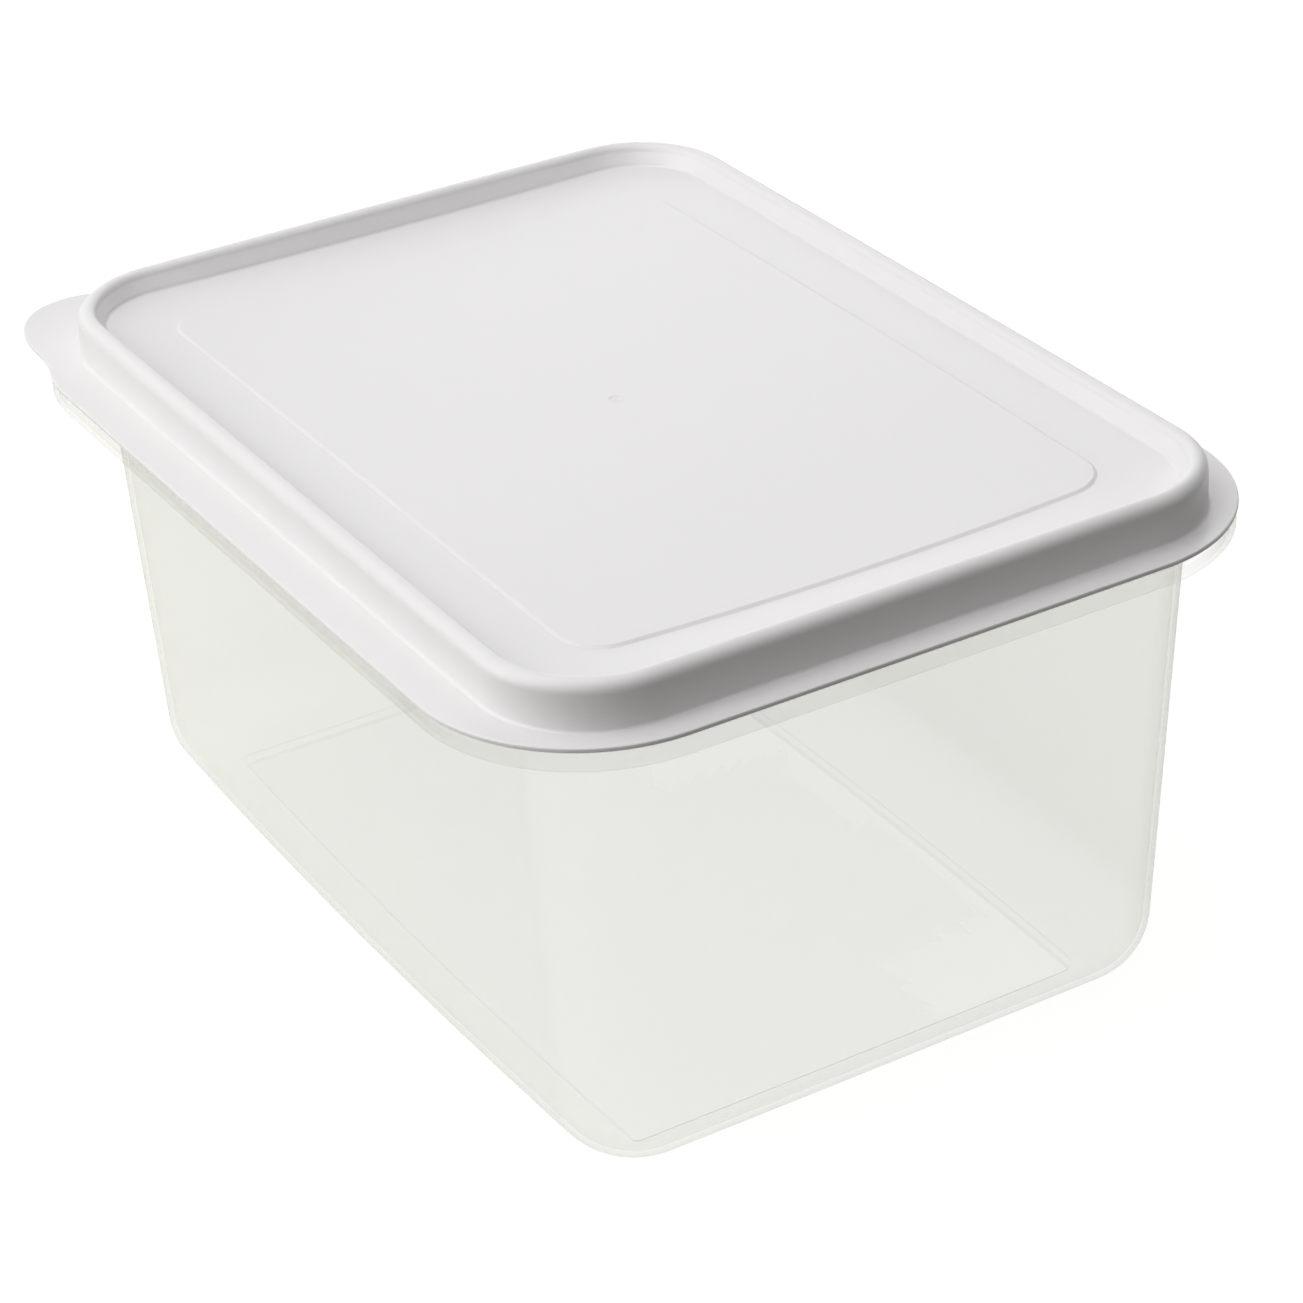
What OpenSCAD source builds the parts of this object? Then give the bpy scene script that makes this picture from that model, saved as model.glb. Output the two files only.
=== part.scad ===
// Dough proofing container: a translucent tub and the white cover that snaps over its lip.
// The short sides run along X and the long sides along Y. The origin is the middle of the foot.

/* [Tub] */
// Width between the walls' outer faces at the ledge, along X
mouth_x = 200; // [160:1:250]
// Length between the walls' outer faces at the ledge, along Y
mouth_y = 287; // [220:1:360]
// Height of the ledge's top face above the surface that the tub stands on
ledge_z = 145.2; // [80:0.1:240]
// Thickness of the walls and of the floor
wall_t = 1.8; // [1.2:0.1:3]
// Inward lean of the walls, in millimetres for each millimetre of depth
wall_lean = 0.03; // [0.01:0.005:0.06]
// Outer radius of the four upright corners
corner_r = 24.6; // [24:0.2:36]
// Outer radius of the rounded bottom edge
base_round = 21.5; // [8:0.5:21.5]
// Height of the foot under the floor
foot_h = 1.2; // [0.6:0.1:2.5]
// How far the foot's edge lies inside the rounded bottom edge
foot_inset = 1; // [0.5:0.1:2]
// Outward bow of the long walls at the bottom
base_bow_long = 3.9; // [0.5:0.1:6]
// Outward bow of the short walls at the bottom
base_bow_short = 0.3; // [0.2:0.1:4]

/* [Tub rim] */
// How far the upright lip's outer face stands outside the long walls
lip_side = 5.7; // [0.5:0.1:7]
// How far the upright lip's outer face stands outside the short walls
lip_end = 2.1; // [0.5:0.1:7]
// Corner radius of the lip's outer face
lip_r = 30; // [24:0.2:34]
// Thickness of the lip
lip_t = 1.5; // [1.2:0.1:1.8]
// Width of the ledge from the lip to its edge, on the long sides
ledge_side = 13.8; // [6:0.2:20]
// Width of the ledge from the lip to its edge, on the short sides
ledge_end = 9.2; // [6:0.2:20]
// Corner radius of the ledge's edge
ledge_r = 48; // [34:0.2:50]
// Thickness of the ledge
ledge_t = 2; // [1.4:0.1:3]
// Height of the skirt that turns down from the ledge's outer edge
skirt_h = 5.5; // [4:0.5:12]
// Thickness of the skirt
skirt_t = 1.5; // [1.2:0.1:2.4]

/* [Lid] */
// Thickness of the cover's wall
lid_t = 1.3; // [1:0.1:1.4]
// Thickness of the flange that lies on the ledge
flange_t = 1.5; // [1.2:0.1:2]
// How far the flange reaches past the ledge, all round
flange_over = 0.4; // [0:0.1:2]
// Height of the rounded crest above the ledge
crest_h = 15; // [12:0.1:18]
// Radius of the rounded top of the crest
crest_r = 2.2; // [2.1:0.1:3.4]
// Inward lean of the crest's outer face over its height
crest_lean = 0.3; // [0.1:0.1:0.8]
// Extra width of the crest at the foot of its inner face
crest_foot = 3.2; // [0.2:0.1:4]
// Height of the recessed floor above the ledge
recess_h = 9; // [6:0.1:10]
// Width of the recessed floor between the crest and the raised panel, on the long sides
recess_side = 17.9; // [4:0.1:30]
// Width of the recessed floor between the crest and the raised panel, on the short sides
recess_end = 19.2; // [4:0.1:40]
// Corner radius of the raised panel
panel_r = 12.4; // [6:0.2:20]
// Height of the raised panel above the recessed floor
panel_rise = 0.7; // [0.4:0.1:1.5]

/* [Pull tab] */
// How far the tab reaches past the flange's rounded corner
tab_reach = 17; // [8:0.5:24]
// Distance along the flange's edge from the tab's middle to where it ends
tab_half = 34.5; // [24:0.5:40]
// Direction that the tab points in, counted from the -X side towards the +Y side
tab_angle = 61.5; // [35:0.5:70]

/* [Clearances] */
// Gap between the lip's outer face and the cover's crest
seat_gap = 0.3; // [0.25:0.05:0.6]
// Gap between the lip's top and the inside of the crest
lip_play = 0.8; // [0.5:0.1:2]

/* [Hidden] */

// Bow that every moulded side keeps at the rim
rim_bow = 0.4;
// Rounding of thin edges, and fillet in the inside corners
edge_r = 0.5;
fillet_r = 1;
// Depth of the sloped shoulder inside the rim, where the wall steps out to the lip
shoulder_h = 1.5;
// How much further in the floor's step ends inside the tub than the foot's edge does under it
foot_slope = 0.8;
// Run of the panel's sloped edge for each millimetre of its rise
panel_slope = 1.2;
// Steps along half a side, round a corner, round the corner with the tab, and up each stretch
side_steps = 5;
corner_steps = 8;
tab_steps = 20;
edge_steps = 2;
crest_steps = 6;
base_steps = 7;
wall_steps = 4;
// Steps round each corner, counter-clockwise from the +X +Y corner
TUB_CORNERS = [corner_steps, corner_steps, corner_steps, corner_steps];
LID_CORNERS = [corner_steps, tab_steps, corner_steps, corner_steps];

base_z = foot_h + base_round;
under_z = ledge_z - ledge_t;
skirt_z = ledge_z - skirt_h;
lip_z = ledge_z + crest_h - lid_t - lip_play;
flange_z = ledge_z + flange_t;
recess_z = ledge_z + recess_h;
panel_z = recess_z + panel_rise;
// Distances from the lip's outer face, outwards: the crest's outer foot, the centres of its outer
// and inner roundings, and its inner foot. A thick lip sets the inner rounding further in
crest_out = seat_gap + lid_t + crest_lean;
crest_front = seat_gap + lid_t - crest_r;
crest_back = min(crest_front, crest_r - lid_t - lip_t);
crest_in = crest_back - crest_r - crest_foot;
crest_z = ledge_z + crest_h - crest_r;

// A shape is [half width, half length, corner radius, bow of the long sides, bow of the short sides]
LIP = [mouth_x/2 + lip_side, mouth_y/2 + lip_end, lip_r, rim_bow, rim_bow];
LEDGE = [LIP[0] + ledge_side, LIP[1] + ledge_end, ledge_r, rim_bow, rim_bow];
PANEL = [LIP[0] + crest_in - recess_side, LIP[1] + crest_in - recess_end, panel_r, rim_bow, rim_bow];
function wall_shape(z) =
    let (depth = ledge_z - z, k = depth / ledge_z)
    [mouth_x/2 - wall_lean * depth, mouth_y/2 - wall_lean * depth, corner_r,
     mix(rim_bow, base_bow_long, k), mix(rim_bow, base_bow_short, k)];
BASE = wall_shape(base_z);

function mix(a, b, k) = a + (b - a) * k;

// Radius of the shallow arc that rises by h over a half chord c
function bow_radius(c, h) = (c*c + h*h) / (2*h);

// Points on an arc about c, from angle a to just before angle b
function arc(c, r, a, b, steps) =
    [for (i = [0 : steps - 1]) let (t = mix(a, b, i/steps)) c + r * [cos(t), sin(t)]];

// A quarter of the outline at a distance off outside shape s, from the +X axis to the +Y axis. Each
// side is a shallow arc, and the corner is centred where it touches both side arcs from inside
function quarter(s, off, steps) =
    let (rx = bow_radius(s[1], s[3]), ry = bow_radius(s[0], s[4]),
         cx = s[0] - rx, cy = s[1] - ry, apart = norm([cx, cy]), u = [-cx, cy] / apart,
         p = rx - s[2], q = ry - s[2], along = (p*p - q*q + apart*apart) / (2*apart),
         c = [cx, 0] + along * u + sqrt(p*p - along*along) * [-u.y, u.x],
         a = atan2(c.y, c.x - cx), b = atan2(c.y - cy, c.x))
    concat(arc([cx, 0], rx + off, 0, a, side_steps), arc(c, s[2] + off, a, b, steps),
           arc([0, cy], ry + off, b, 90, side_steps), [[0, s[1] + off]]);
function forwards(q) = [for (i = [0 : len(q) - 2]) q[i]];
function backwards(q) = [for (i = [len(q) - 1 : -1 : 1]) q[i]];

// The whole outline, counter-clockwise: each quarter is mirrored to its place
function outline(s, off, corners) =
    let (q = [for (steps = corners) quarter(s, off, steps)])
    concat(forwards(q[0]), [for (p = backwards(q[1])) [-p.x, p.y]],
           [for (p = forwards(q[2])) -p], [for (p = backwards(q[3])) [p.x, -p.y]]);

// Centre of the crest's rounding at angle t, counted from the outer side over the top
function crest_mid(t) = t < 90 ? crest_front : t > 90 ? crest_back : (crest_front + crest_back) / 2;

function raised(pts, z) = [for (p = pts) [p.x, p.y, z]];
function tub_ring(s, off, z) = raised(outline(s, off, TUB_CORNERS), z);
function lid_ring(s, off, z) = raised(outline(s, off, LID_CORNERS), z);

// Pushes a point of the flange's edge outwards into the tab, by a cosine-squared bump over the run
// along the edge from the tab's middle
function tab_push(p) =
    let (v = p - [-(LEDGE[0] - ledge_r), LEDGE[1] - ledge_r],
         out = v.x > 0 ? [0, 1] : v.y < 0 ? [-1, 0] : v / norm(v),
         run = ledge_r * PI/180 * (atan2(out.y, -out.x) - tab_angle) + max(v.x, 0) + min(v.y, 0))
    p.y > 0 && abs(run) < tab_half ? p + out * tab_reach * pow(cos(90 * run / tab_half), 2) : p;
function flange_ring(off, z) =
    raised([for (p = outline(LEDGE, flange_over + off, LID_CORNERS)) tab_push(p)], z);

// Closed skin over a stack of rings that runs from the underside out, up and back in
module skin(rings) {
    n = len(rings[0]);
    last = (len(rings) - 1) * n;
    sides = [for (i = [0 : n : last - n], j = [0 : n - 1]) let (k = (j + 1) % n)
             each [[i + j, i + n + j, i + n + k], [i + j, i + n + k, i + k]]];
    caps = [[for (j = [0 : n - 1]) j], [for (j = [n - 1 : -1 : 0]) last + j]];
    polyhedron([for (r = rings) each r], concat(caps, sides));
}

// Foot, rounded bottom edge and outer wall, from the underside up
function tub_outside() = concat(
    [tub_ring(BASE, -base_round - foot_inset, 0)],
    [for (i = [base_steps : -1 : 0]) let (t = 90 * i/base_steps)
     tub_ring(BASE, -base_round * (1 - cos(t)), base_z - base_round * sin(t))],
    [for (i = [1 : wall_steps]) let (z = mix(base_z, under_z - fillet_r, i/wall_steps))
     tub_ring(wall_shape(z), 0, z)]);
// Ledge with its turned-down skirt, then the upright lip
function tub_rim() = concat(
    [for (i = [1 : edge_steps]) let (t = 90 * i/edge_steps)
     tub_ring(wall_shape(under_z), fillet_r * (1 - cos(t)), under_z - fillet_r * (1 - sin(t)))],
    [tub_ring(LEDGE, -skirt_t, under_z), tub_ring(LEDGE, -skirt_t, skirt_z)],
    [for (i = [-edge_steps : 0]) let (t = 90 * i/edge_steps)
     tub_ring(LEDGE, -edge_r * (1 - cos(t)), skirt_z + edge_r * (1 + sin(t)))],
    [for (i = [0 : edge_steps]) let (t = 90 * i/edge_steps)
     tub_ring(LEDGE, -edge_r * (1 - cos(t)), ledge_z - edge_r * (1 - sin(t)))],
    [tub_ring(LIP, 0, ledge_z)],
    [for (i = [0 : crest_steps]) let (t = 180 * i/crest_steps)
     tub_ring(LIP, lip_t/2 * (cos(t) - 1), lip_z + lip_t/2 * (sin(t) - 1))],
    [tub_ring(LIP, -lip_t, ledge_z + fillet_r)]);
// Inner wall down to the floor, which steps down into the foot and so keeps the wall's thickness
function tub_inside() = concat(
    [for (i = [0 : wall_steps - 1]) let (z = mix(ledge_z - shoulder_h, base_z, i/wall_steps))
     tub_ring(wall_shape(z), -wall_t, z)],
    [for (i = [0 : base_steps]) let (t = 90 * i/base_steps, r = base_round - wall_t)
     tub_ring(BASE, -wall_t - r * (1 - cos(t)), base_z - r * sin(t))],
    [tub_ring(BASE, -base_round - foot_inset - foot_slope, wall_t)]);

module tub() {
    color([0.89, 0.9, 0.87]) skin(concat(tub_outside(), tub_rim(), tub_inside()));
}

// Underside: panel, recessed floor, and the channel inside the crest
function lid_underside() = concat(
    [lid_ring(PANEL, -panel_slope * panel_rise, panel_z - lid_t),
     lid_ring(PANEL, 0, recess_z - lid_t),
     lid_ring(LIP, crest_in + lid_t, recess_z - lid_t)],
    [for (i = [crest_steps : -1 : 0]) let (t = 180 * i/crest_steps, r = crest_r - lid_t)
     lid_ring(LIP, crest_mid(t) + r * cos(t), crest_z + r * sin(t))],
    [lid_ring(LIP, crest_out - lid_t, ledge_z)]);
// Edge of the flange and of the tab
function lid_edge() = concat(
    [for (i = [-edge_steps : 0]) let (t = 90 * i/edge_steps)
     flange_ring(-edge_r * (1 - cos(t)), ledge_z + edge_r * (1 + sin(t)))],
    [for (i = [1 : edge_steps]) let (t = 90 * i/edge_steps)
     flange_ring(-edge_r * (1 - cos(t)), flange_z - edge_r * (1 - sin(t)))]);
// Top side: crest, recessed floor and raised panel
function lid_top() = concat(
    [for (i = [0 : edge_steps]) let (t = 90 * i/edge_steps)
     lid_ring(LIP, crest_out + fillet_r * (1 - sin(t)), flange_z + fillet_r * (1 - cos(t)))],
    [for (i = [0 : crest_steps]) let (t = 180 * i/crest_steps)
     lid_ring(LIP, crest_mid(t) + crest_r * cos(t), crest_z + crest_r * sin(t))],
    [for (i = [0 : edge_steps]) let (t = 90 * i/edge_steps)
     lid_ring(LIP, crest_in - fillet_r * (1 - cos(t)), recess_z + fillet_r * (1 - sin(t)))],
    [lid_ring(PANEL, 0, recess_z), lid_ring(PANEL, -panel_slope * panel_rise, panel_z)]);

module lid() {
    color([0.93, 0.92, 0.92]) skin(concat(lid_underside(), lid_edge(), lid_top()));
}

tub();
lid();
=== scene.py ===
from math import pi, radians

import bpy
import numpy as np
from mathutils import Matrix, Vector


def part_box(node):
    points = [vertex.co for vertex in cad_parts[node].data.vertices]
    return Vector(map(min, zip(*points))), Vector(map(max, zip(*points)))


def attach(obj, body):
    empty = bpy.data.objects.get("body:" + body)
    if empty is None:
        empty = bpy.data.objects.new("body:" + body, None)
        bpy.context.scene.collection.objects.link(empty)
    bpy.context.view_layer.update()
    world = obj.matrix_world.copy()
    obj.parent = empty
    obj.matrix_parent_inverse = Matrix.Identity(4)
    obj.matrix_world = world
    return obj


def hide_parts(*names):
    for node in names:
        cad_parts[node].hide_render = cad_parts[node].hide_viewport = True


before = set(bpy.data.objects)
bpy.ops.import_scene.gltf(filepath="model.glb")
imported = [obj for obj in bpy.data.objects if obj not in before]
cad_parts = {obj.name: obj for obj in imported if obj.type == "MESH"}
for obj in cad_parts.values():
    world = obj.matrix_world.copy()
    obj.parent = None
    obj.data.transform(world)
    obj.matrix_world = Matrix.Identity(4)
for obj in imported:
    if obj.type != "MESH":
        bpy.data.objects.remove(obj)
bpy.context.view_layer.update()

bl_info = {
    "name": "Dough proofing container",
    "version": (1, 0, 0),
    "blender": (4, 5, 0),
    "location": "3D View > Sidebar > Dough box",
    "description": "A translucent dough proofing tub with its white press-on cover",
    "category": "Add Mesh",
}

MM = 0.001
TUB_LOW, TUB_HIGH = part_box("tub")
LID_LOW, LID_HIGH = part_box("lid")
LEDGE_Z = LID_LOW.z
# Bow that every moulded side keeps at the rim, and rounding of thin edges and inside corners
RIM_BOW = 0.4 * MM
EDGE = 0.5 * MM
FILLET = 1 * MM
# Where the cover's dip and arch end, out from its middle
DIP_REACH = (TUB_HIGH.x - 20 * MM, TUB_HIGH.y - 12 * MM)
# Steps along half a side and round a corner of an outline, round the tub's bottom and up its wall
SIDE_STEPS = 22
CORNER_STEPS = 34
BOTTOM_STEPS = 16
WALL_RINGS = 14
# Ripples and clouds to a metre of moulded skin, and the ripple's height over the grain's
RIPPLE_SCALE = 38.0
CLOUD_SCALE = 11.0
RIPPLE_HEIGHT = 1.6
# How steeply a slanting look hides more of the tub. Its share grows from the foot to a height
SLANT_POWER = 3.0
SLANT_AT_FOOT = 0.35
SLANT_IN_FULL = 0.16 * TUB_HIGH.z
# The floor's radius, the greys that light sees on it, and where its white grows to full
FLOOR_REACH = 3.0
FLOOR_GREYS = ((0.26, 0.25, 0.23, 1), (0.28, 0.27, 0.25, 1))
WHITE_FROM = 0.4
WHITE_TO = 1.2
# Each lamp's property, name and place, the side of them all, and the point they face
LAMPS = (("left", "Left light", (-1.2, 0.4, 0.55)),
         ("side", "Side light", (-1.0, -0.3, 0.9)),
         ("top", "Top light", (-0.3, 0.2, 1.5)),
         ("front", "Front light", (0.4, -0.45, 1.4)),
         ("back", "Back light", (0.9, 0.9, 0.8)))
LAMP_SIDE = 1.2
LAMP_TARGET = (0, 0, 0.1)
# Width of the camera's frame in millimetres
SENSOR = 36


# Sizes, colours and light that a user would change


def length(name, value, description):
    """A size in metres."""
    return bpy.props.FloatProperty(
        name=name, description=description, default=value, min=0, unit="LENGTH", precision=5)


def number(name, value, description, low=0.0, high=1.0):
    """A plain number between two limits."""
    return bpy.props.FloatProperty(
        name=name, description=description, default=value, min=low, max=high, precision=3)


def angle(name, value, description):
    """An angle, given in degrees and kept in radians."""
    return bpy.props.FloatProperty(
        name=name, description=description, default=radians(value), subtype="ANGLE", precision=5)


def power(name, value, description):
    """A lamp's power in watts."""
    return bpy.props.FloatProperty(
        name=name, description=description, default=value, min=0, unit="POWER", precision=2)


def colour(name, value, description):
    """A colour in scene-linear red, green and blue."""
    return bpy.props.FloatVectorProperty(
        name=name, description=description, default=value, size=3, min=0, max=1, subtype="COLOR")


class TubSizes(bpy.types.PropertyGroup):
    """Sizes of the tub's moulding."""
    lip_side: length("Lip, long sides", 5.7 * MM, "Lip's face outside the long walls")
    lip_end: length("Lip, short sides", 2.1 * MM, "Lip's face outside the short walls")
    lip_radius: length("Lip corners", 30 * MM, "Corner radius of the lip's outer face")
    lip_wall: length("Lip thickness", 1.5 * MM, "Thickness of the upright lip")
    ledge_side: length("Ledge, long sides", 13.8 * MM, "Width of the ledge beside the lip")
    ledge_end: length("Ledge, short sides", 9.2 * MM, "Width of the ledge beside the lip")
    ledge_radius: length("Ledge corners", 48 * MM, "Corner radius of the ledge's edge")
    ledge_wall: length("Ledge thickness", 2 * MM, "Thickness of the ledge")
    skirt_height: length("Skirt height", 5.5 * MM, "Height of the turned-down skirt")
    skirt_wall: length("Skirt thickness", 1.5 * MM, "Thickness of the skirt")
    shoulder: length("Shoulder depth", 1.5 * MM, "Slope inside the rim, from the lip to the wall")
    wall: length("Wall thickness", 1.8 * MM, "Thickness of the walls and of the floor")
    lean: number("Wall lean", 0.03, "Inward lean of the walls for each unit of depth")
    corner_radius: length("Upright corners", 24.6 * MM, "Outer radius of the upright corners")
    base_round: length("Bottom rounding", 21.5 * MM, "Outer radius of the bottom edge")
    foot_height: length("Foot height", 1.2 * MM, "Height of the foot under the floor")
    foot_inset: length("Foot inset", 1 * MM, "How far the foot lies inside the rounding")
    foot_slope: length("Foot slope", 0.8 * MM, "How much further in the floor's step ends inside")
    bow_long: length("Bow, long walls", 3.9 * MM, "Outward bow of the long walls at the bottom")
    bow_short: length("Bow, short walls", 0.3 * MM, "Outward bow of the short walls at the bottom")


class LidSizes(bpy.types.PropertyGroup):
    """Sizes of the cover's moulding."""
    wall: length("Cover thickness", 1.3 * MM, "Thickness of the cover")
    flange: length("Flange thickness", 1.5 * MM, "Thickness of the flange on the ledge")
    flange_over: length("Flange overhang", 0.4 * MM, "How far the flange reaches past the ledge")
    seat: length("Seat", 0.03 * MM, "Hair of air between the flange and the ledge")
    seat_gap: length("Lip gap", 0.3 * MM, "Gap between the lip's face and the crest")
    crest_radius: length("Crest radius", 3.5 * MM, "Radius of the crest's outer rounding")
    crest_edge: length("Crest edge", 2.0 * MM, "Radius of the crest's inner edge")
    crest_lean: length("Crest lean", 0.3 * MM, "Inward lean of the crest's outer face")
    crest_foot: length("Crest foot", 2.1 * MM, "Extra width at the foot of the crest's inner face")
    recess: length("Recess height", 9 * MM, "Height of the recessed floor above the ledge")
    recess_side: length("Recess, long sides", 17.9 * MM, "Recessed floor beside the panel")
    recess_end: length("Recess, short sides", 19.2 * MM, "Recessed floor beside the panel")
    panel_radius: length("Panel corners", 12.4 * MM, "Corner radius of the raised panel")
    panel_rise: length("Panel rise", 0.7 * MM, "Height of the panel above the recessed floor")
    panel_slope: number("Panel slope", 1.2, "Run of the panel's edge for each unit of rise", 0, 4)
    dip: length("Dip across", 3.2 * MM, "How far the moulded top dips along its middle")
    arch: length("Arch along", 0.93 * MM, "How far the moulded top arches from end to end")
    dip_at_crest: number("Dip at the crest", 0.35, "Share of the dip that the crest's foot has")
    tab_reach: length("Tab reach", 17 * MM, "How far the pull tab reaches past the flange")
    tab_half: length("Tab half length", 34.5 * MM, "Edge length from the tab's middle to its end")
    tab_angle: angle("Tab direction", 61.5, "From the -X side towards the +Y side")
    gate_radius: length("Gate mark radius", 1.5 * MM, "Radius of the moulding mark in the middle")
    gate_depth: length("Gate mark depth", 0.25 * MM, "Depth of the moulding mark in the middle")


class Finish(bpy.types.PropertyGroup):
    """Colours and surfaces of the two mouldings."""
    tub_colour: colour("Tub", (0.81, 0.82, 0.735), "Milky natural plastic")
    tub_tint: colour("Tub tint", (0.993, 0.995, 0.985), "What one skin leaves of straight light")
    tub_cover: number("Tub cover", 0.09, "How much one skin of the walls hides, seen straight on")
    tub_edge_cover: number("Tub edge cover", 0.6, "How much the outer skin hides, seen along it")
    # Painted shade: the foot's edge and the floor's step hide more than a wall, so they show as
    # thin dark lines
    painted_foot_shade: number("Tub painted foot shade", 0.05, "How much more than a wall the foot's edges hide")
    floor_clear: number("Clear floor", 0.03, "How much less than a wall the floor hides")
    rim_clear: number("Clear skirt", 0.055, "How much less than a wall the skirt hides")
    tub_roughness: number("Tub roughness", 0.3, "Roughness of the tub's satin surface")
    lid_colour: colour("Cover", (0.84, 0.825, 0.825), "White moulded plastic")
    lid_roughness: number("Cover roughness", 0.33, "Roughness of the cover's satin surface")


class View(bpy.types.PropertyGroup):
    """Camera, floor and light."""
    place: bpy.props.FloatVectorProperty(
        name="Camera place", description="Where the camera stands", subtype="XYZ", unit="LENGTH",
        default=(-0.47541, -0.83826, 0.62216))
    heading: angle("Heading", 29.967, "Turn of the camera's aim from +Y towards +X")
    fall: angle("Fall", 29.737, "How far the camera looks down")
    roll: angle("Roll", -2.628, "Turn of the camera about its aim")
    lens: number("Lens", 106.928, "Focal length in millimetres on a 36 mm frame", 10, 500)
    sky: number("Sky", 0.08, "Strength of the even light from all round", 0, 3)
    dim_side: bpy.props.FloatVectorProperty(
        name="Dim side", description="Where the sky is dimmest", subtype="DIRECTION",
        default=(0.25, -0.95, -0.15))
    sky_front: number("Front shade", 0, "Share of the sky's light that comes from the front")
    left: power("Left light", 8.8, "Power of the light on the left")
    side: power("Side light", 3.8, "Power of the light high on the left")
    top: power("Top light", 8.8, "Power of the light overhead")
    front: power("Front light", 2.9, "Power of the light high in front")
    back: power("Back light", 3.8, "Power of the light behind on the right")
    floor_glow: number("Floor white", 0.9, "White that the floor shows apart from its shading")


# Rings: an outline carried up and along a moulding's section


def bowed_outline(shape, off):
    """Closed outlines of rounded rectangles with bowed sides, one row of points for each outline.

    A row of shape is half width, half length, corner radius, bow of the long sides and bow of the
    short sides. A side is the shallow arc of radius (c*c + h*h) / 2h that rises by its bow h over
    its half chord c. The corner's arc is centred where two circles cross: those about the two side
    arcs' centres, with the corner radius taken off. Every radius grows by off, so the outlines of
    one shape are parallel. The first quarter is mirrored into the other three, counter-clockwise.
    """
    hx, hy, r, bow_x, bow_y = shape.T[:, :, None]
    off = off[:, None]
    rx = (hy**2 + bow_x**2) / (2 * bow_x)
    ry = (hx**2 + bow_y**2) / (2 * bow_y)
    cx, cy = hx - rx, hy - ry
    apart = np.hypot(cx, cy)
    ux, uy = -cx / apart, cy / apart
    p, q = rx - r, ry - r
    along = (p**2 - q**2 + apart**2) / (2 * apart)
    out = np.sqrt(p**2 - along**2)
    mx, my = cx + along * ux - out * uy, along * uy + out * ux
    a, b = np.arctan2(my, mx - cx), np.arctan2(my - cy, mx)
    side = a * np.linspace(0, 1, SIDE_STEPS, endpoint=False)
    turn = a + (b - a) * np.linspace(0, 1, CORNER_STEPS, endpoint=False)
    end = b + (pi / 2 - b) * np.linspace(0, 1, SIDE_STEPS + 1)
    x = np.hstack([cx + (rx + off) * np.cos(side), mx + (r + off) * np.cos(turn),
                   (ry + off) * np.cos(end)])
    y = np.hstack([(rx + off) * np.sin(side), my + (r + off) * np.sin(turn),
                   cy + (ry + off) * np.sin(end)])
    x = np.hstack([x[:, :-1], -x[:, :0:-1], -x[:, :-1], x[:, :0:-1]])
    y = np.hstack([y[:, :-1], y[:, :0:-1], -y[:, :-1], -y[:, :0:-1]])
    return x, y


def rings(shape, off, z, mark=0.0):
    """Rings at the distances off outside a shape and the heights z. A point is x, y, z and mark.

    On the cover, a mark is the share of the dip that the point takes. On the tub, it is how much
    more than a wall the skin hides there, and it is below 0 where the skin is clearer.
    """
    off, z, mark = np.broadcast_arrays(*np.atleast_1d(off, z, mark))
    x, y = bowed_outline(np.broadcast_to(shape, (len(off), 5)), off)
    return np.stack([x, y, z[:, None] + 0 * x, mark[:, None] + 0 * x], 2)


def rounding(shape, off, z, radius, start, stop, steps=5, mark=0.0):
    """Rings on an arc of the section about (off, z), from one angle to another, in degrees."""
    t = np.radians(np.linspace(start, stop, steps + 1))
    return rings(shape, off + radius * np.cos(t), z + radius * np.sin(t), mark)


def between(first, last, steps):
    """Rings that lead straight from the last ring of one stretch to the first of the next."""
    s = (np.arange(1, steps) / steps)[:, None, None]
    return first[-1] * (1 - s) + last[0] * s


def inwards(ring, sizes):
    """Copies of a flat ring at the given shares of its size, rounder the smaller they are."""
    s = np.asarray(sizes)[:, None]
    reach = np.hypot(ring[:, 0], ring[:, 1])
    grow = s * (s + (1 - s) * reach.min() / reach)
    flat = np.stack([ring[:, 0] * grow, ring[:, 1] * grow], 2)
    rest = np.broadcast_to(ring[:, 2:], flat.shape)
    return np.concatenate([flat, rest], 2)


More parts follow.
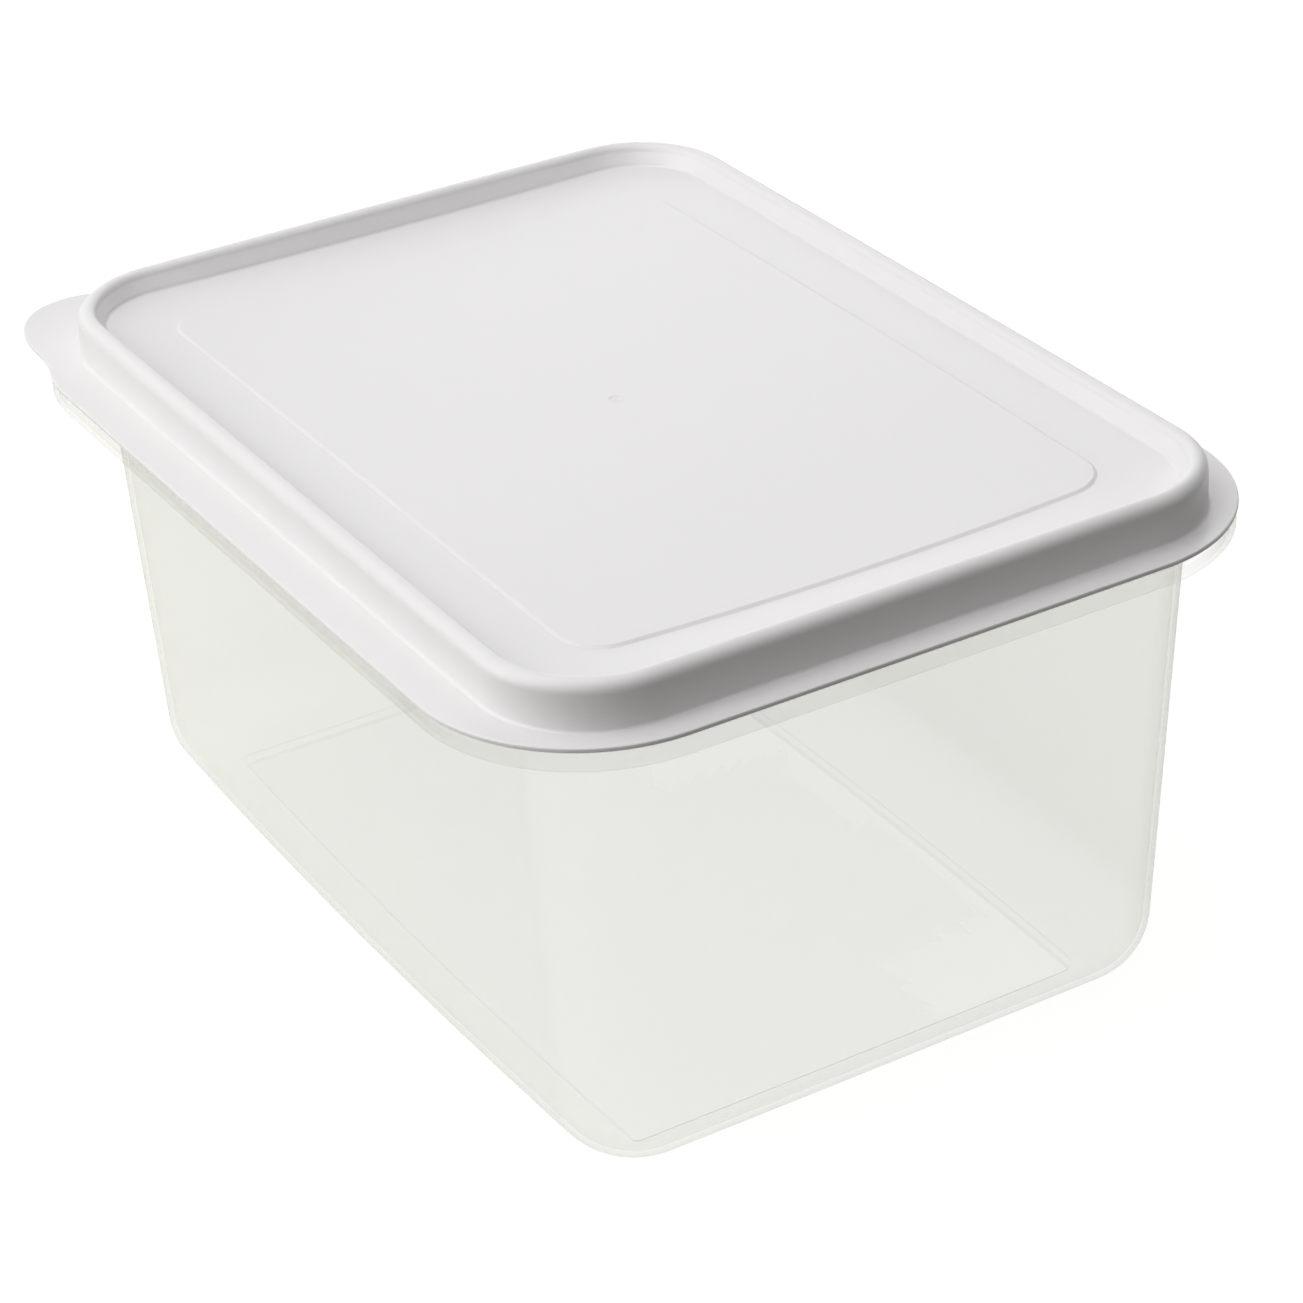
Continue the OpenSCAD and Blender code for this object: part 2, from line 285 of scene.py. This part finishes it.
def skin(name, outer, inner=()):
    """A closed mesh over rings that run from the middle of the underside out, up and back in.

    Neighbouring rings are joined by quads, and each end ring by triangles to its own middle. The
    attribute Outer is 1 on the first stretches and 0 on the inner ones, and Mark is the mark.
    """
    points, marks = np.split(np.concatenate([*outer, *inner]), [3], 2)
    count, around = marks.shape[:2]
    outside = (np.arange(count) < sum(map(len, outer))).repeat(around)
    verts = np.vstack([points.reshape(-1, 3), points[0].mean(0), points[-1].mean(0)])
    j = np.arange(around)
    k = (j + 1) % around
    row = (np.arange(count - 1) * around)[:, None]
    quads = np.stack([row + j, row + k, row + around + k, row + around + j], 2).reshape(-1, 4)
    low, high = count * around, count * around + 1
    top = (count - 1) * around
    fans = np.vstack([np.stack([k, j, np.full(around, low)], 1),
                      np.stack([top + j, top + k, np.full(around, high)], 1)])
    mesh = bpy.data.meshes.new(name)
    mesh.vertices.add(len(verts))
    mesh.vertices.foreach_set("co", verts.ravel())
    mesh.loops.add(quads.size + fans.size)
    mesh.loops.foreach_set("vertex_index", np.concatenate([quads.ravel(), fans.ravel()]))
    sizes = np.concatenate([np.full(len(quads), 4), np.full(len(fans), 3)])
    mesh.polygons.add(len(sizes))
    mesh.polygons.foreach_set("loop_start", np.concatenate([[0], np.cumsum(sizes)[:-1]]))
    mesh.polygons.foreach_set("use_smooth", np.ones(len(sizes), bool))
    mesh.update(calc_edges=True)
    if mesh.validate():
        raise RuntimeError(f"{name}: the skin has faces that are not sound")
    for title, values in (("Mark", np.append(marks, [marks[0, 0], marks[-1, 0]])),
                          ("Outer", np.append(outside, [True, not inner]))):
        attribute = mesh.attributes.new(title, "FLOAT", "POINT")
        attribute.data.foreach_set("value", values.astype(np.float32))
    piece = bpy.data.objects.new(name, mesh)
    bpy.context.scene.collection.objects.link(piece)
    # Large faces lead the shading, so that a flat stays flat up to its rounded edge
    shading = piece.modifiers.new("Even shading", "WEIGHTED_NORMAL")
    shading.weight = 80
    return piece


# Sections of the two mouldings


def rim_shapes(tub):
    """Shapes of the lip's outer face and of the ledge's edge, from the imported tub's own width."""
    ledge = np.array([TUB_HIGH.x, TUB_HIGH.y, tub.ledge_radius, RIM_BOW, RIM_BOW])
    lip = ledge - [tub.ledge_side, tub.ledge_end, tub.ledge_radius - tub.lip_radius, 0, 0]
    return lip, ledge


def wall_shape(tub, z):
    """Shape of the outer wall at heights z: it leans in and its sides bow out with the depth."""
    lip = rim_shapes(tub)[0]
    mouth = lip - [tub.lip_side, tub.lip_end, tub.lip_radius - tub.corner_radius, 0, 0]
    change = np.array([-tub.lean * LEDGE_Z, -tub.lean * LEDGE_Z, 0,
                       tub.bow_long - RIM_BOW, tub.bow_short - RIM_BOW])
    return mouth + change * (1 - np.atleast_1d(z)[:, None] / LEDGE_Z)


def tub_section(tub, finish):
    """The tub's rings: foot, rounded bottom, wall, ledge, skirt and lip outside, then inside."""
    lip, ledge = rim_shapes(tub)
    turn = tub.base_round
    base_z = tub.foot_height + turn
    under_z = LEDGE_Z - tub.ledge_wall
    skirt_z = LEDGE_Z - tub.skirt_height
    base = wall_shape(tub, base_z)
    nib = EDGE / 4
    edge_off = -turn - tub.foot_inset - EDGE
    # The foot's rounded edge and the floor's step carry painted shade: they hide more than a wall,
    # so they show as thin dark lines
    foot_shade_line, clear, rim = finish.painted_foot_shade, -finish.floor_clear, -finish.rim_clear
    foot = np.concatenate([
        rings(base, edge_off - EDGE, 0, clear),
        rounding(base, edge_off, EDGE, EDGE, 270, 340, 4, foot_shade_line),
        rings(base, -turn - EDGE, tub.foot_height - nib, clear)])
    clearing = np.linspace(clear, 0, BOTTOM_STEPS + 1)
    bottom = rounding(base, -turn, base_z, turn, 270, 360, BOTTOM_STEPS, clearing)
    heights = np.linspace(base_z, under_z - FILLET, WALL_RINGS)[1:]
    wall = rings(wall_shape(tub, heights), 0, heights)
    under = rounding(wall_shape(tub, under_z), FILLET, under_z - FILLET, FILLET, 180, 90)
    skirt = np.concatenate([
        rounding(ledge, -tub.skirt_wall - EDGE, under_z - EDGE, EDGE, 90, 0, 5, rim),
        rounding(ledge, EDGE - tub.skirt_wall, skirt_z + EDGE, EDGE, 180, 270, 5, rim),
        rounding(ledge, -EDGE, skirt_z + EDGE, EDGE, 270, 360, 5, rim),
        rounding(ledge, -EDGE, LEDGE_Z - EDGE, EDGE, 0, 90, 5, rim)])
    half = tub.lip_wall / 2
    seat = rounding(lip, EDGE / 2, LEDGE_Z + EDGE / 2, EDGE / 2, 270, 180, 3)
    top = rounding(lip, -half, TUB_HIGH.z - half, half, 0, 180, 12)
    inner = rings(lip, -tub.lip_wall, LEDGE_Z + FILLET)
    heights = np.linspace(LEDGE_Z - tub.shoulder, base_z, WALL_RINGS)
    inside = rings(wall_shape(tub, heights), -tub.wall, heights)
    dish = rounding(base, -turn, base_z, turn - tub.wall, 360, 270, BOTTOM_STEPS, clearing[::-1])
    upper = base_z - turn + tub.wall
    step_end = -turn - tub.foot_inset - tub.foot_slope
    # The floor's step carries the same painted shade line as the foot's edge
    step = rings(base, [nib - turn, -turn, -turn - nib, -turn - 3 * nib, step_end, step_end - nib],
                 [upper, upper, upper - nib, upper - 3 * nib, tub.wall + nib, tub.wall],
                 [clear, foot_shade_line, foot_shade_line, clear, clear, clear])
    spread = np.linspace(0.96, 0.05, 12)
    outer_skin = [inwards(foot[0], spread[::-1]), foot, bottom, wall, under, skirt, seat, top]
    return outer_skin, [inner, inside, dish[1:-1], step, inwards(step[-1], spread)]


def pull_tab(tub, lid, edge):
    """Pushes the flange's edge outwards into the tab.

    The push is the tab's reach times the squared cosine of a quarter turn over the tab's half
    length, of the distance along the edge from the tab's middle. It points straight out of the
    edge: out of the corner's arc on the corner, and square to the side past either end of it.
    """
    hx, hy, r = rim_shapes(tub)[1][:3]
    x, y = edge[:, :, 0] + (hx - r), edge[:, :, 1] - (hy - r)
    reach = np.hypot(x, y)
    out_x = np.where(x > 0, 0, np.where(y < 0, -1, x / reach))
    out_y = np.where(x > 0, 1, np.where(y < 0, 0, y / reach))
    run = r * (np.arctan2(out_y, -out_x) - lid.tab_angle) + np.maximum(x, 0) + np.minimum(y, 0)
    near = (edge[:, :, 1] > 0) & (np.abs(run) < lid.tab_half)
    push = np.where(near, lid.tab_reach * np.cos(pi / 2 * run / lid.tab_half) ** 2, 0)
    pushed = edge.copy()
    pushed[:, :, 0] += out_x * push
    pushed[:, :, 1] += out_y * push
    return pushed


def lid_section(tub, lid):
    """The cover's rings: underside out to the flange's edge, then crest, recess and panel."""
    lip, ledge = rim_shapes(tub)
    t = lid.wall
    low = LEDGE_Z + lid.seat
    flange_z = LEDGE_Z + lid.flange
    floor_z = LEDGE_Z + lid.recess
    panel_z = floor_z + lid.panel_rise
    crest_z = LID_HIGH.z - lid.crest_radius
    outer = lid.seat_gap + t + lid.crest_lean
    middle = lid.seat_gap + t - lid.crest_radius
    inner = middle - lid.crest_edge - lid.crest_foot
    panel = np.array([lip[0] + inner - lid.recess_side, lip[1] + inner - lid.recess_end,
                      lid.panel_radius, RIM_BOW, RIM_BOW])
    step = lid.panel_slope * lid.panel_rise
    bend = 0.1 * MM
    foot_give = lid.dip_at_crest
    spread = np.linspace(0.97, 0.04, 22)

    below = rings(panel, [-step, 0], [panel_z - t, floor_z - t], 1)
    below_foot = rings(lip, inner + t, floor_z - t, foot_give)
    channel = rounding(lip, middle, crest_z, lid.crest_radius - t, 90, 0, 8)
    seat = rounding(lip, outer - t + EDGE / 2, low + EDGE / 2, EDGE / 2, 180, 270, 3)

    edge = np.concatenate([
        rounding(ledge, lid.flange_over - EDGE, low + EDGE, EDGE, 270, 360),
        rounding(ledge, lid.flange_over - EDGE, flange_z - EDGE, EDGE, 0, 90)])
    edge = pull_tab(tub, lid, edge)

    foot = rounding(lip, outer + FILLET, flange_z + FILLET, FILLET, 270, 180, 6)
    crest = np.concatenate([
        rounding(lip, middle, crest_z, lid.crest_radius, 0, 90, 12),
        rounding(lip, middle, LID_HIGH.z - lid.crest_edge, lid.crest_edge, 90, 180, 6)[1:]])
    corner = rounding(lip, inner - FILLET, floor_z + FILLET, FILLET, 360, 270, 6, foot_give)
    rise = np.concatenate([
        rings(panel, [bend, 0], [floor_z, floor_z + bend / 2], 1),
        rings(panel, [-step, -step - bend], [panel_z - bend / 2, panel_z], 1)])

    # The gate mark is a low rim round a shallow pit. Its rings are true circles
    around_gate = lid.gate_radius * np.array([2, 1.5, 1.3, 1, 0.7, 0.5])
    gate = inwards(rise[-1], 0.02 * around_gate / around_gate[0])
    reach = np.hypot(gate[:, :, :1], gate[:, :, 1:2])
    gate[:, :, :2] *= around_gate[:, None, None] / reach
    gate[:, :, 2] += lid.gate_depth * np.array([0, 0.1, 0.5, -1, -1, -0.6])[:, None]
    return [inwards(below[0], spread[::-1]), below, between(below, below_foot, 10), below_foot,
            between(below_foot, channel, 8), channel, between(channel, seat, 6), seat,
            between(seat, edge, 4), edge, between(edge, foot, 4), foot,
            between(foot, crest, 10), crest, between(crest, corner, 10), corner,
            between(corner, rise, 12), rise, inwards(rise[-1], spread), gate]


def dipped(lid, stretches):
    """The cover's rings with its moulded top dipping: parabolas across and along, times give."""
    for stretch in stretches:
        x, y, give = stretch[:, :, 0], stretch[:, :, 1], stretch[:, :, 3]
        across = 1 - (x / DIP_REACH[0]) ** 2
        along = 1 - (y / DIP_REACH[1]) ** 2
        stretch[:, :, 2] += give * (lid.arch * along - lid.dip * across)
    return stretches


# Materials


def wire(tree, kind, inputs=None, **settings):
    """A new node with its settings, its inputs set to values or linked from other sockets."""
    node = tree.nodes.new(kind)
    for key, value in settings.items():
        setattr(node, key, value)
    for key, value in (inputs or {}).items():
        if isinstance(value, bpy.types.NodeSocket):
            tree.links.new(value, node.inputs[key])
        else:
            node.inputs[key].default_value = value
    return node


def seen_ray(tree):
    """1 for a ray that the camera, gloss or glass sends, 0 for a ray of light."""
    path = wire(tree, "ShaderNodeLightPath").outputs
    seen = wire(tree, "ShaderNodeMath", {0: path["Is Camera Ray"], 1: path["Is Glossy Ray"]},
                operation="MAXIMUM")
    seen = wire(tree, "ShaderNodeMath", {0: seen.outputs[0], 1: path["Is Transmission Ray"]},
                operation="MAXIMUM")
    return seen.outputs[0]


def moulded_surface():
    """Node group for a moulded satin skin: a fine spark-eroded grain over a soft flow ripple.

    Slow clouds vary the roughness by Spread and the colour by Clouding, about their mean.
    """
    group = bpy.data.node_groups.new("Moulded surface", "ShaderNodeTree")
    for name, kind, value in (("Position", "NodeSocketVector", None),
                              ("Grain size", "NodeSocketFloat", 0.0008),
                              ("Roughness", "NodeSocketFloat", 0.4),
                              ("Spread", "NodeSocketFloat", 0.05),
                              ("Colour", "NodeSocketColor", None),
                              ("Clouding", "NodeSocketFloat", 0.03)):
        socket = group.interface.new_socket(name, in_out="INPUT", socket_type=kind)
        if value is not None:
            socket.default_value = value
    for name, kind in (("Colour", "NodeSocketColor"), ("Roughness", "NodeSocketFloat"),
                       ("Height", "NodeSocketFloat")):
        group.interface.new_socket(name, in_out="OUTPUT", socket_type=kind)
    given = wire(group, "NodeGroupInput").outputs
    pitch = wire(group, "ShaderNodeMath", {0: 1.0, 1: given["Grain size"]}, operation="DIVIDE")
    grain = wire(group, "ShaderNodeTexNoise", {
        "Vector": given["Position"], "Scale": pitch.outputs[0], "Detail": 2.0, "Roughness": 0.6})
    ripple = wire(group, "ShaderNodeTexNoise", {
        "Vector": given["Position"], "Scale": RIPPLE_SCALE, "Detail": 2.0,
        "Roughness": 0.45})
    cloud = wire(group, "ShaderNodeTexNoise", {
        "Vector": given["Position"], "Scale": CLOUD_SCALE, "Detail": 3.0,
        "Roughness": 0.55})
    height = wire(group, "ShaderNodeMath", {
        0: ripple.outputs["Fac"], 1: RIPPLE_HEIGHT, 2: grain.outputs["Fac"]},
        operation="MULTIPLY_ADD")
    centred = wire(group, "ShaderNodeMath", {0: cloud.outputs["Fac"], 1: 0.5},
                   operation="SUBTRACT")
    rough = wire(group, "ShaderNodeMath", {
        0: centred.outputs[0], 1: given["Spread"], 2: given["Roughness"]},
        operation="MULTIPLY_ADD")
    shade = wire(group, "ShaderNodeMath", {
        0: centred.outputs[0], 1: given["Clouding"], 2: 1.0}, operation="MULTIPLY_ADD")
    tint = wire(group, "ShaderNodeVectorMath", {
        0: given["Colour"], "Scale": shade.outputs[0]}, operation="SCALE")
    wire(group, "NodeGroupOutput", {
        "Colour": tint.outputs[0], "Roughness": rough.outputs[0], "Height": height.outputs[0]})
    return group


def plastic(name, colour_value, roughness, *, spread, clouding, grain, relief):
    """A material of the moulded surface. Returns it, its Principled BSDF and its bump."""
    material = bpy.data.materials.new(name)
    material.use_nodes = True
    tree = material.node_tree
    tree.nodes.clear()
    position = wire(tree, "ShaderNodeTexCoord").outputs["Object"]
    group = bpy.data.node_groups.get("Moulded surface") or moulded_surface()
    surface = wire(tree, "ShaderNodeGroup", node_tree=group)
    tree.links.new(position, surface.inputs["Position"])
    for key, value in (("Grain size", grain), ("Roughness", roughness), ("Spread", spread),
                       ("Colour", (*colour_value, 1)), ("Clouding", clouding)):
        surface.inputs[key].default_value = value
    bump = wire(tree, "ShaderNodeBump", {
        "Height": surface.outputs["Height"], "Strength": relief, "Distance": 0.1 * MM})
    shader = wire(tree, "ShaderNodeBsdfPrincipled", {
        "Base Color": surface.outputs["Colour"], "Roughness": surface.outputs["Roughness"],
        "Normal": bump.outputs["Normal"], "IOR": 1.49})
    return material, shader, bump


def lid_plastic(finish):
    """White moulded plastic: opaque satin with a little light carried under the surface."""
    material, shader, _ = plastic(
        "Cover white plastic", finish.lid_colour, finish.lid_roughness,
        spread=0.12, clouding=0.03, grain=0.9 * MM, relief=0.22)
    shader.inputs["Subsurface Weight"].default_value = 0.12
    shader.inputs["Subsurface Radius"].default_value = (1.0, 0.95, 0.9)
    shader.inputs["Subsurface Scale"].default_value = 0.002
    wire(material.node_tree, "ShaderNodeOutputMaterial", {"Surface": shader.outputs["BSDF"]})
    return material


def tub_plastic(finish):
    """Milky natural plastic: every skin lets light through straight and scattered."""
    material, shader, bump = plastic(
        "Tub milky plastic", finish.tub_colour, finish.tub_roughness,
        spread=0.14, clouding=0.05, grain=1.2 * MM, relief=0.12)
    tree = material.node_tree
    # A slanting look goes through more plastic, so the outer skin hides more at its outline,
    # fully from some way above the foot
    facing = wire(tree, "ShaderNodeLayerWeight", {"Blend": 0.5}).outputs["Facing"]
    curve = wire(tree, "ShaderNodeMath", {0: facing, 1: SLANT_POWER}, operation="POWER")
    outer = wire(tree, "ShaderNodeAttribute", attribute_name="Outer").outputs["Fac"]
    slant = wire(tree, "ShaderNodeMath", {0: curve.outputs[0], 1: outer}, operation="MULTIPLY")
    position = wire(tree, "ShaderNodeTexCoord").outputs["Object"]
    height = wire(tree, "ShaderNodeSeparateXYZ", {0: position}).outputs["Z"]
    thick = wire(tree, "ShaderNodeMapRange", {
        "Value": height, "From Min": TUB_LOW.z, "From Max": SLANT_IN_FULL,
        "To Min": SLANT_AT_FOOT, "To Max": 1.0})
    slanted = wire(tree, "ShaderNodeMath", {0: slant.outputs[0], 1: thick.outputs["Result"]},
                   operation="MULTIPLY")
    skin_cover = wire(tree, "ShaderNodeMapRange", {
        "Value": slanted.outputs[0], "To Min": finish.tub_cover, "To Max": finish.tub_edge_cover})
    # The foot's edge and the floor's step hide more, as painted shade that draws them as thin dark
    # lines; the floor and the skirt are clearer
    mark = wire(tree, "ShaderNodeAttribute", attribute_name="Mark").outputs["Fac"]
    cover = wire(tree, "ShaderNodeMath", {0: mark, 1: skin_cover.outputs["Result"]},
                 operation="ADD", use_clamp=True)
    tree.links.new(cover.outputs[0], shader.inputs["Alpha"])
    scattered = wire(tree, "ShaderNodeBsdfTranslucent", {
        "Color": (*finish.tub_colour, 1), "Normal": bump.outputs["Normal"]})
    clear = wire(tree, "ShaderNodeBsdfTransparent", {"Color": (*finish.tub_tint, 1)})
    passed = wire(tree, "ShaderNodeMixShader", {
        0: cover.outputs[0], 1: clear.outputs[0], 2: scattered.outputs[0]})
    both = wire(tree, "ShaderNodeMixShader", {
        0: 0.5, 1: shader.outputs["BSDF"], 2: passed.outputs[0]})
    wire(tree, "ShaderNodeOutputMaterial", {"Surface": both.outputs[0]})
    return material


# Floor, world and camera


def floor_material(view):
    """Pale floor: the camera, gloss and glass see white less its shading, light sees a grey.

    The white that they see grows to full away from the object, so no horizon shows.
    """
    material = bpy.data.materials.new("Studio floor")
    material.use_nodes = True
    tree = material.node_tree
    tree.nodes.clear()
    position = wire(tree, "ShaderNodeTexCoord").outputs["Object"]
    mottle = wire(tree, "ShaderNodeTexNoise", {"Vector": position, "Scale": 6.0, "Detail": 4.0})
    grey = wire(tree, "ShaderNodeValToRGB", {"Fac": mottle.outputs["Fac"]})
    for element, shade in zip(grey.color_ramp.elements, FLOOR_GREYS):
        element.color = shade
    matt = wire(tree, "ShaderNodeBsdfDiffuse", {"Color": grey.outputs["Color"]})
    away = wire(tree, "ShaderNodeVectorMath", {0: position}, operation="LENGTH").outputs["Value"]
    level = wire(tree, "ShaderNodeMapRange", {
        "Value": away, "From Min": WHITE_FROM, "From Max": WHITE_TO,
        "To Min": view.floor_glow, "To Max": 1.0})
    glow = wire(tree, "ShaderNodeMath", {0: seen_ray(tree), 1: level.outputs["Result"]},
                operation="MULTIPLY")
    white = wire(tree, "ShaderNodeEmission", {"Color": (1, 1, 1, 1), "Strength": glow.outputs[0]})
    both = wire(tree, "ShaderNodeAddShader", {0: matt.outputs[0], 1: white.outputs[0]})
    wire(tree, "ShaderNodeOutputMaterial", {"Surface": both.outputs[0]})
    return material


def studio_world(view):
    """White for the camera, gloss and glass. Its light is dimmer from the dim side."""
    world = bpy.data.worlds.new("Studio")
    bpy.context.scene.world = world
    world.use_nodes = True
    tree = world.node_tree
    tree.nodes.clear()
    direction = wire(tree, "ShaderNodeTexCoord").outputs["Generated"]
    dimness = wire(tree, "ShaderNodeVectorMath", {0: direction, 1: tuple(view.dim_side)},
                     operation="DOT_PRODUCT")
    side = wire(tree, "ShaderNodeMapRange", {
        "Value": dimness.outputs["Value"], "From Min": 0.1, "From Max": 0.9,
        "To Min": view.sky, "To Max": view.sky_front * view.sky})
    strength = wire(tree, "ShaderNodeMix", {
        0: seen_ray(tree), 2: side.outputs["Result"], 3: 1.0}, data_type="FLOAT")
    glow = wire(tree, "ShaderNodeBackground", {
        "Color": (1, 1, 1, 1), "Strength": strength.outputs[0]})
    wire(tree, "ShaderNodeOutputWorld", {"Surface": glow.outputs[0]})


def soft_lamp(name, place, watts):
    """A broad square lamp that faces the object, unseen by the camera."""
    light = bpy.data.lights.new(name, "AREA")
    light.size = LAMP_SIDE
    light.energy = watts
    lamp = bpy.data.objects.new(name, light)
    aim = Vector(LAMP_TARGET) - Vector(place)
    turned = aim.to_track_quat("-Z", "Y").to_matrix()
    lamp.matrix_world = Matrix.Translation(place) @ turned.to_4x4()
    lamp.visible_camera = False
    bpy.context.scene.collection.objects.link(lamp)


def photo_camera(view):
    """The camera: its aim from heading and fall, then turned about the aim by roll."""
    heading, fall, roll = view.heading, view.fall, view.roll
    aim = Vector((np.cos(fall) * np.sin(heading), np.cos(fall) * np.cos(heading), -np.sin(fall)))
    level = Vector((np.cos(heading), -np.sin(heading), 0))
    upright = level.cross(aim)
    right = level * np.cos(roll) + upright * np.sin(roll)
    up = upright * np.cos(roll) - level * np.sin(roll)
    data = bpy.data.cameras.new("Photo camera")
    data.lens = view.lens
    data.sensor_width = SENSOR
    data.clip_start = 0.01
    data.clip_end = 20
    camera = bpy.data.objects.new("Photo camera", data)
    turned = Matrix((right, up, -aim)).transposed()
    camera.matrix_world = Matrix.Translation(view.place) @ turned.to_4x4()
    bpy.context.scene.collection.objects.link(camera)
    bpy.context.scene.camera = camera


def floor_piece():
    """A flat round floor under the foot: rings of a circle, drawn in to its middle."""
    around, count = 96, 10
    turn = np.linspace(0, 2 * pi, around, endpoint=False)
    reach = FLOOR_REACH * np.linspace(1, 0.1, count)[:, None]
    flat = np.stack([reach * np.cos(turn), reach * np.sin(turn)], 2).reshape(-1, 2)
    verts = np.column_stack([flat, np.full(len(flat), TUB_LOW.z)])
    j = np.arange(around)
    k = (j + 1) % around
    row = (np.arange(count - 1) * around)[:, None]
    quads = np.stack([row + j, row + k, row + around + k, row + around + j], 2).reshape(-1, 4)
    middle = (count - 1) * around + j
    mesh = bpy.data.meshes.new("Floor")
    mesh.from_pydata(verts.tolist(), [], quads.tolist() + [middle.tolist()])
    piece = bpy.data.objects.new("Floor", mesh)
    bpy.context.scene.collection.objects.link(piece)
    return piece


# Operators and panel


class DOUGHBOX_OT_tub(bpy.types.Operator):
    """Make the translucent tub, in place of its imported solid."""
    bl_idname = "mesh.dough_box_tub"
    bl_label = "Make the tub"

    def execute(self, context):
        scene = context.scene
        tub = skin("milky_tub", *tub_section(scene.tub_sizes, scene.finish))
        tub.data.materials.append(tub_plastic(scene.finish))
        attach(tub, "tub")
        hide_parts("tub")
        return {"FINISHED"}


class DOUGHBOX_OT_lid(bpy.types.Operator):
    """Make the white cover with its pull tab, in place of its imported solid."""
    bl_idname = "mesh.dough_box_lid"
    bl_label = "Make the cover"

    def execute(self, context):
        scene = context.scene
        sizes = scene.lid_sizes
        lid = skin("white_cover", dipped(sizes, lid_section(scene.tub_sizes, sizes)))
        lid.data.materials.append(lid_plastic(scene.finish))
        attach(lid, "lid")
        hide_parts("lid")
        return {"FINISHED"}


class DOUGHBOX_OT_stage(bpy.types.Operator):
    """Set the camera, the pale floor, the world and the lamps."""
    bl_idname = "scene.dough_box_stage"
    bl_label = "Set the stage"

    def execute(self, context):
        view = context.scene.studio
        floor = floor_piece()
        floor.data.materials.append(floor_material(view))
        studio_world(view)
        for key, name, place in LAMPS:
            soft_lamp(name, place, getattr(view, key))
        photo_camera(view)
        context.scene.view_settings.view_transform = "Standard"
        return {"FINISHED"}


class DOUGHBOX_PT_panel(bpy.types.Panel):
    """Sizes, finishes and light of the dough proofing container."""
    bl_label = "Dough proofing container"
    bl_idname = "DOUGHBOX_PT_panel"
    bl_space_type = "VIEW_3D"
    bl_region_type = "UI"
    bl_category = "Dough box"

    def draw(self, context):
        scene = context.scene
        for title, sizes, operator in (("Tub", scene.tub_sizes, DOUGHBOX_OT_tub),
                                       ("Cover", scene.lid_sizes, DOUGHBOX_OT_lid),
                                       ("Finish", scene.finish, None),
                                       ("Stage", scene.studio, DOUGHBOX_OT_stage)):
            box = self.layout.box()
            box.label(text=title)
            for name in sizes.__annotations__:
                box.prop(sizes, name)
            if operator:
                box.operator(operator.bl_idname)


CLASSES = (TubSizes, LidSizes, Finish, View, DOUGHBOX_OT_tub, DOUGHBOX_OT_lid,
           DOUGHBOX_OT_stage, DOUGHBOX_PT_panel)
GROUPS = {"tub_sizes": TubSizes, "lid_sizes": LidSizes, "finish": Finish, "studio": View}


def register():
    """Makes the classes known to Blender and gives each scene its sizes, finish and studio."""
    for made in CLASSES:
        bpy.utils.register_class(made)
    for name, group in GROUPS.items():
        setattr(bpy.types.Scene, name, bpy.props.PointerProperty(type=group))


def unregister():
    """Takes back what register did."""
    for name in GROUPS:
        delattr(bpy.types.Scene, name)
    for made in reversed(CLASSES):
        bpy.utils.unregister_class(made)


def main():
    register()
    bpy.ops.scene.dough_box_stage()
    bpy.ops.mesh.dough_box_tub()
    bpy.ops.mesh.dough_box_lid()


if __name__ == "__main__":
    main()
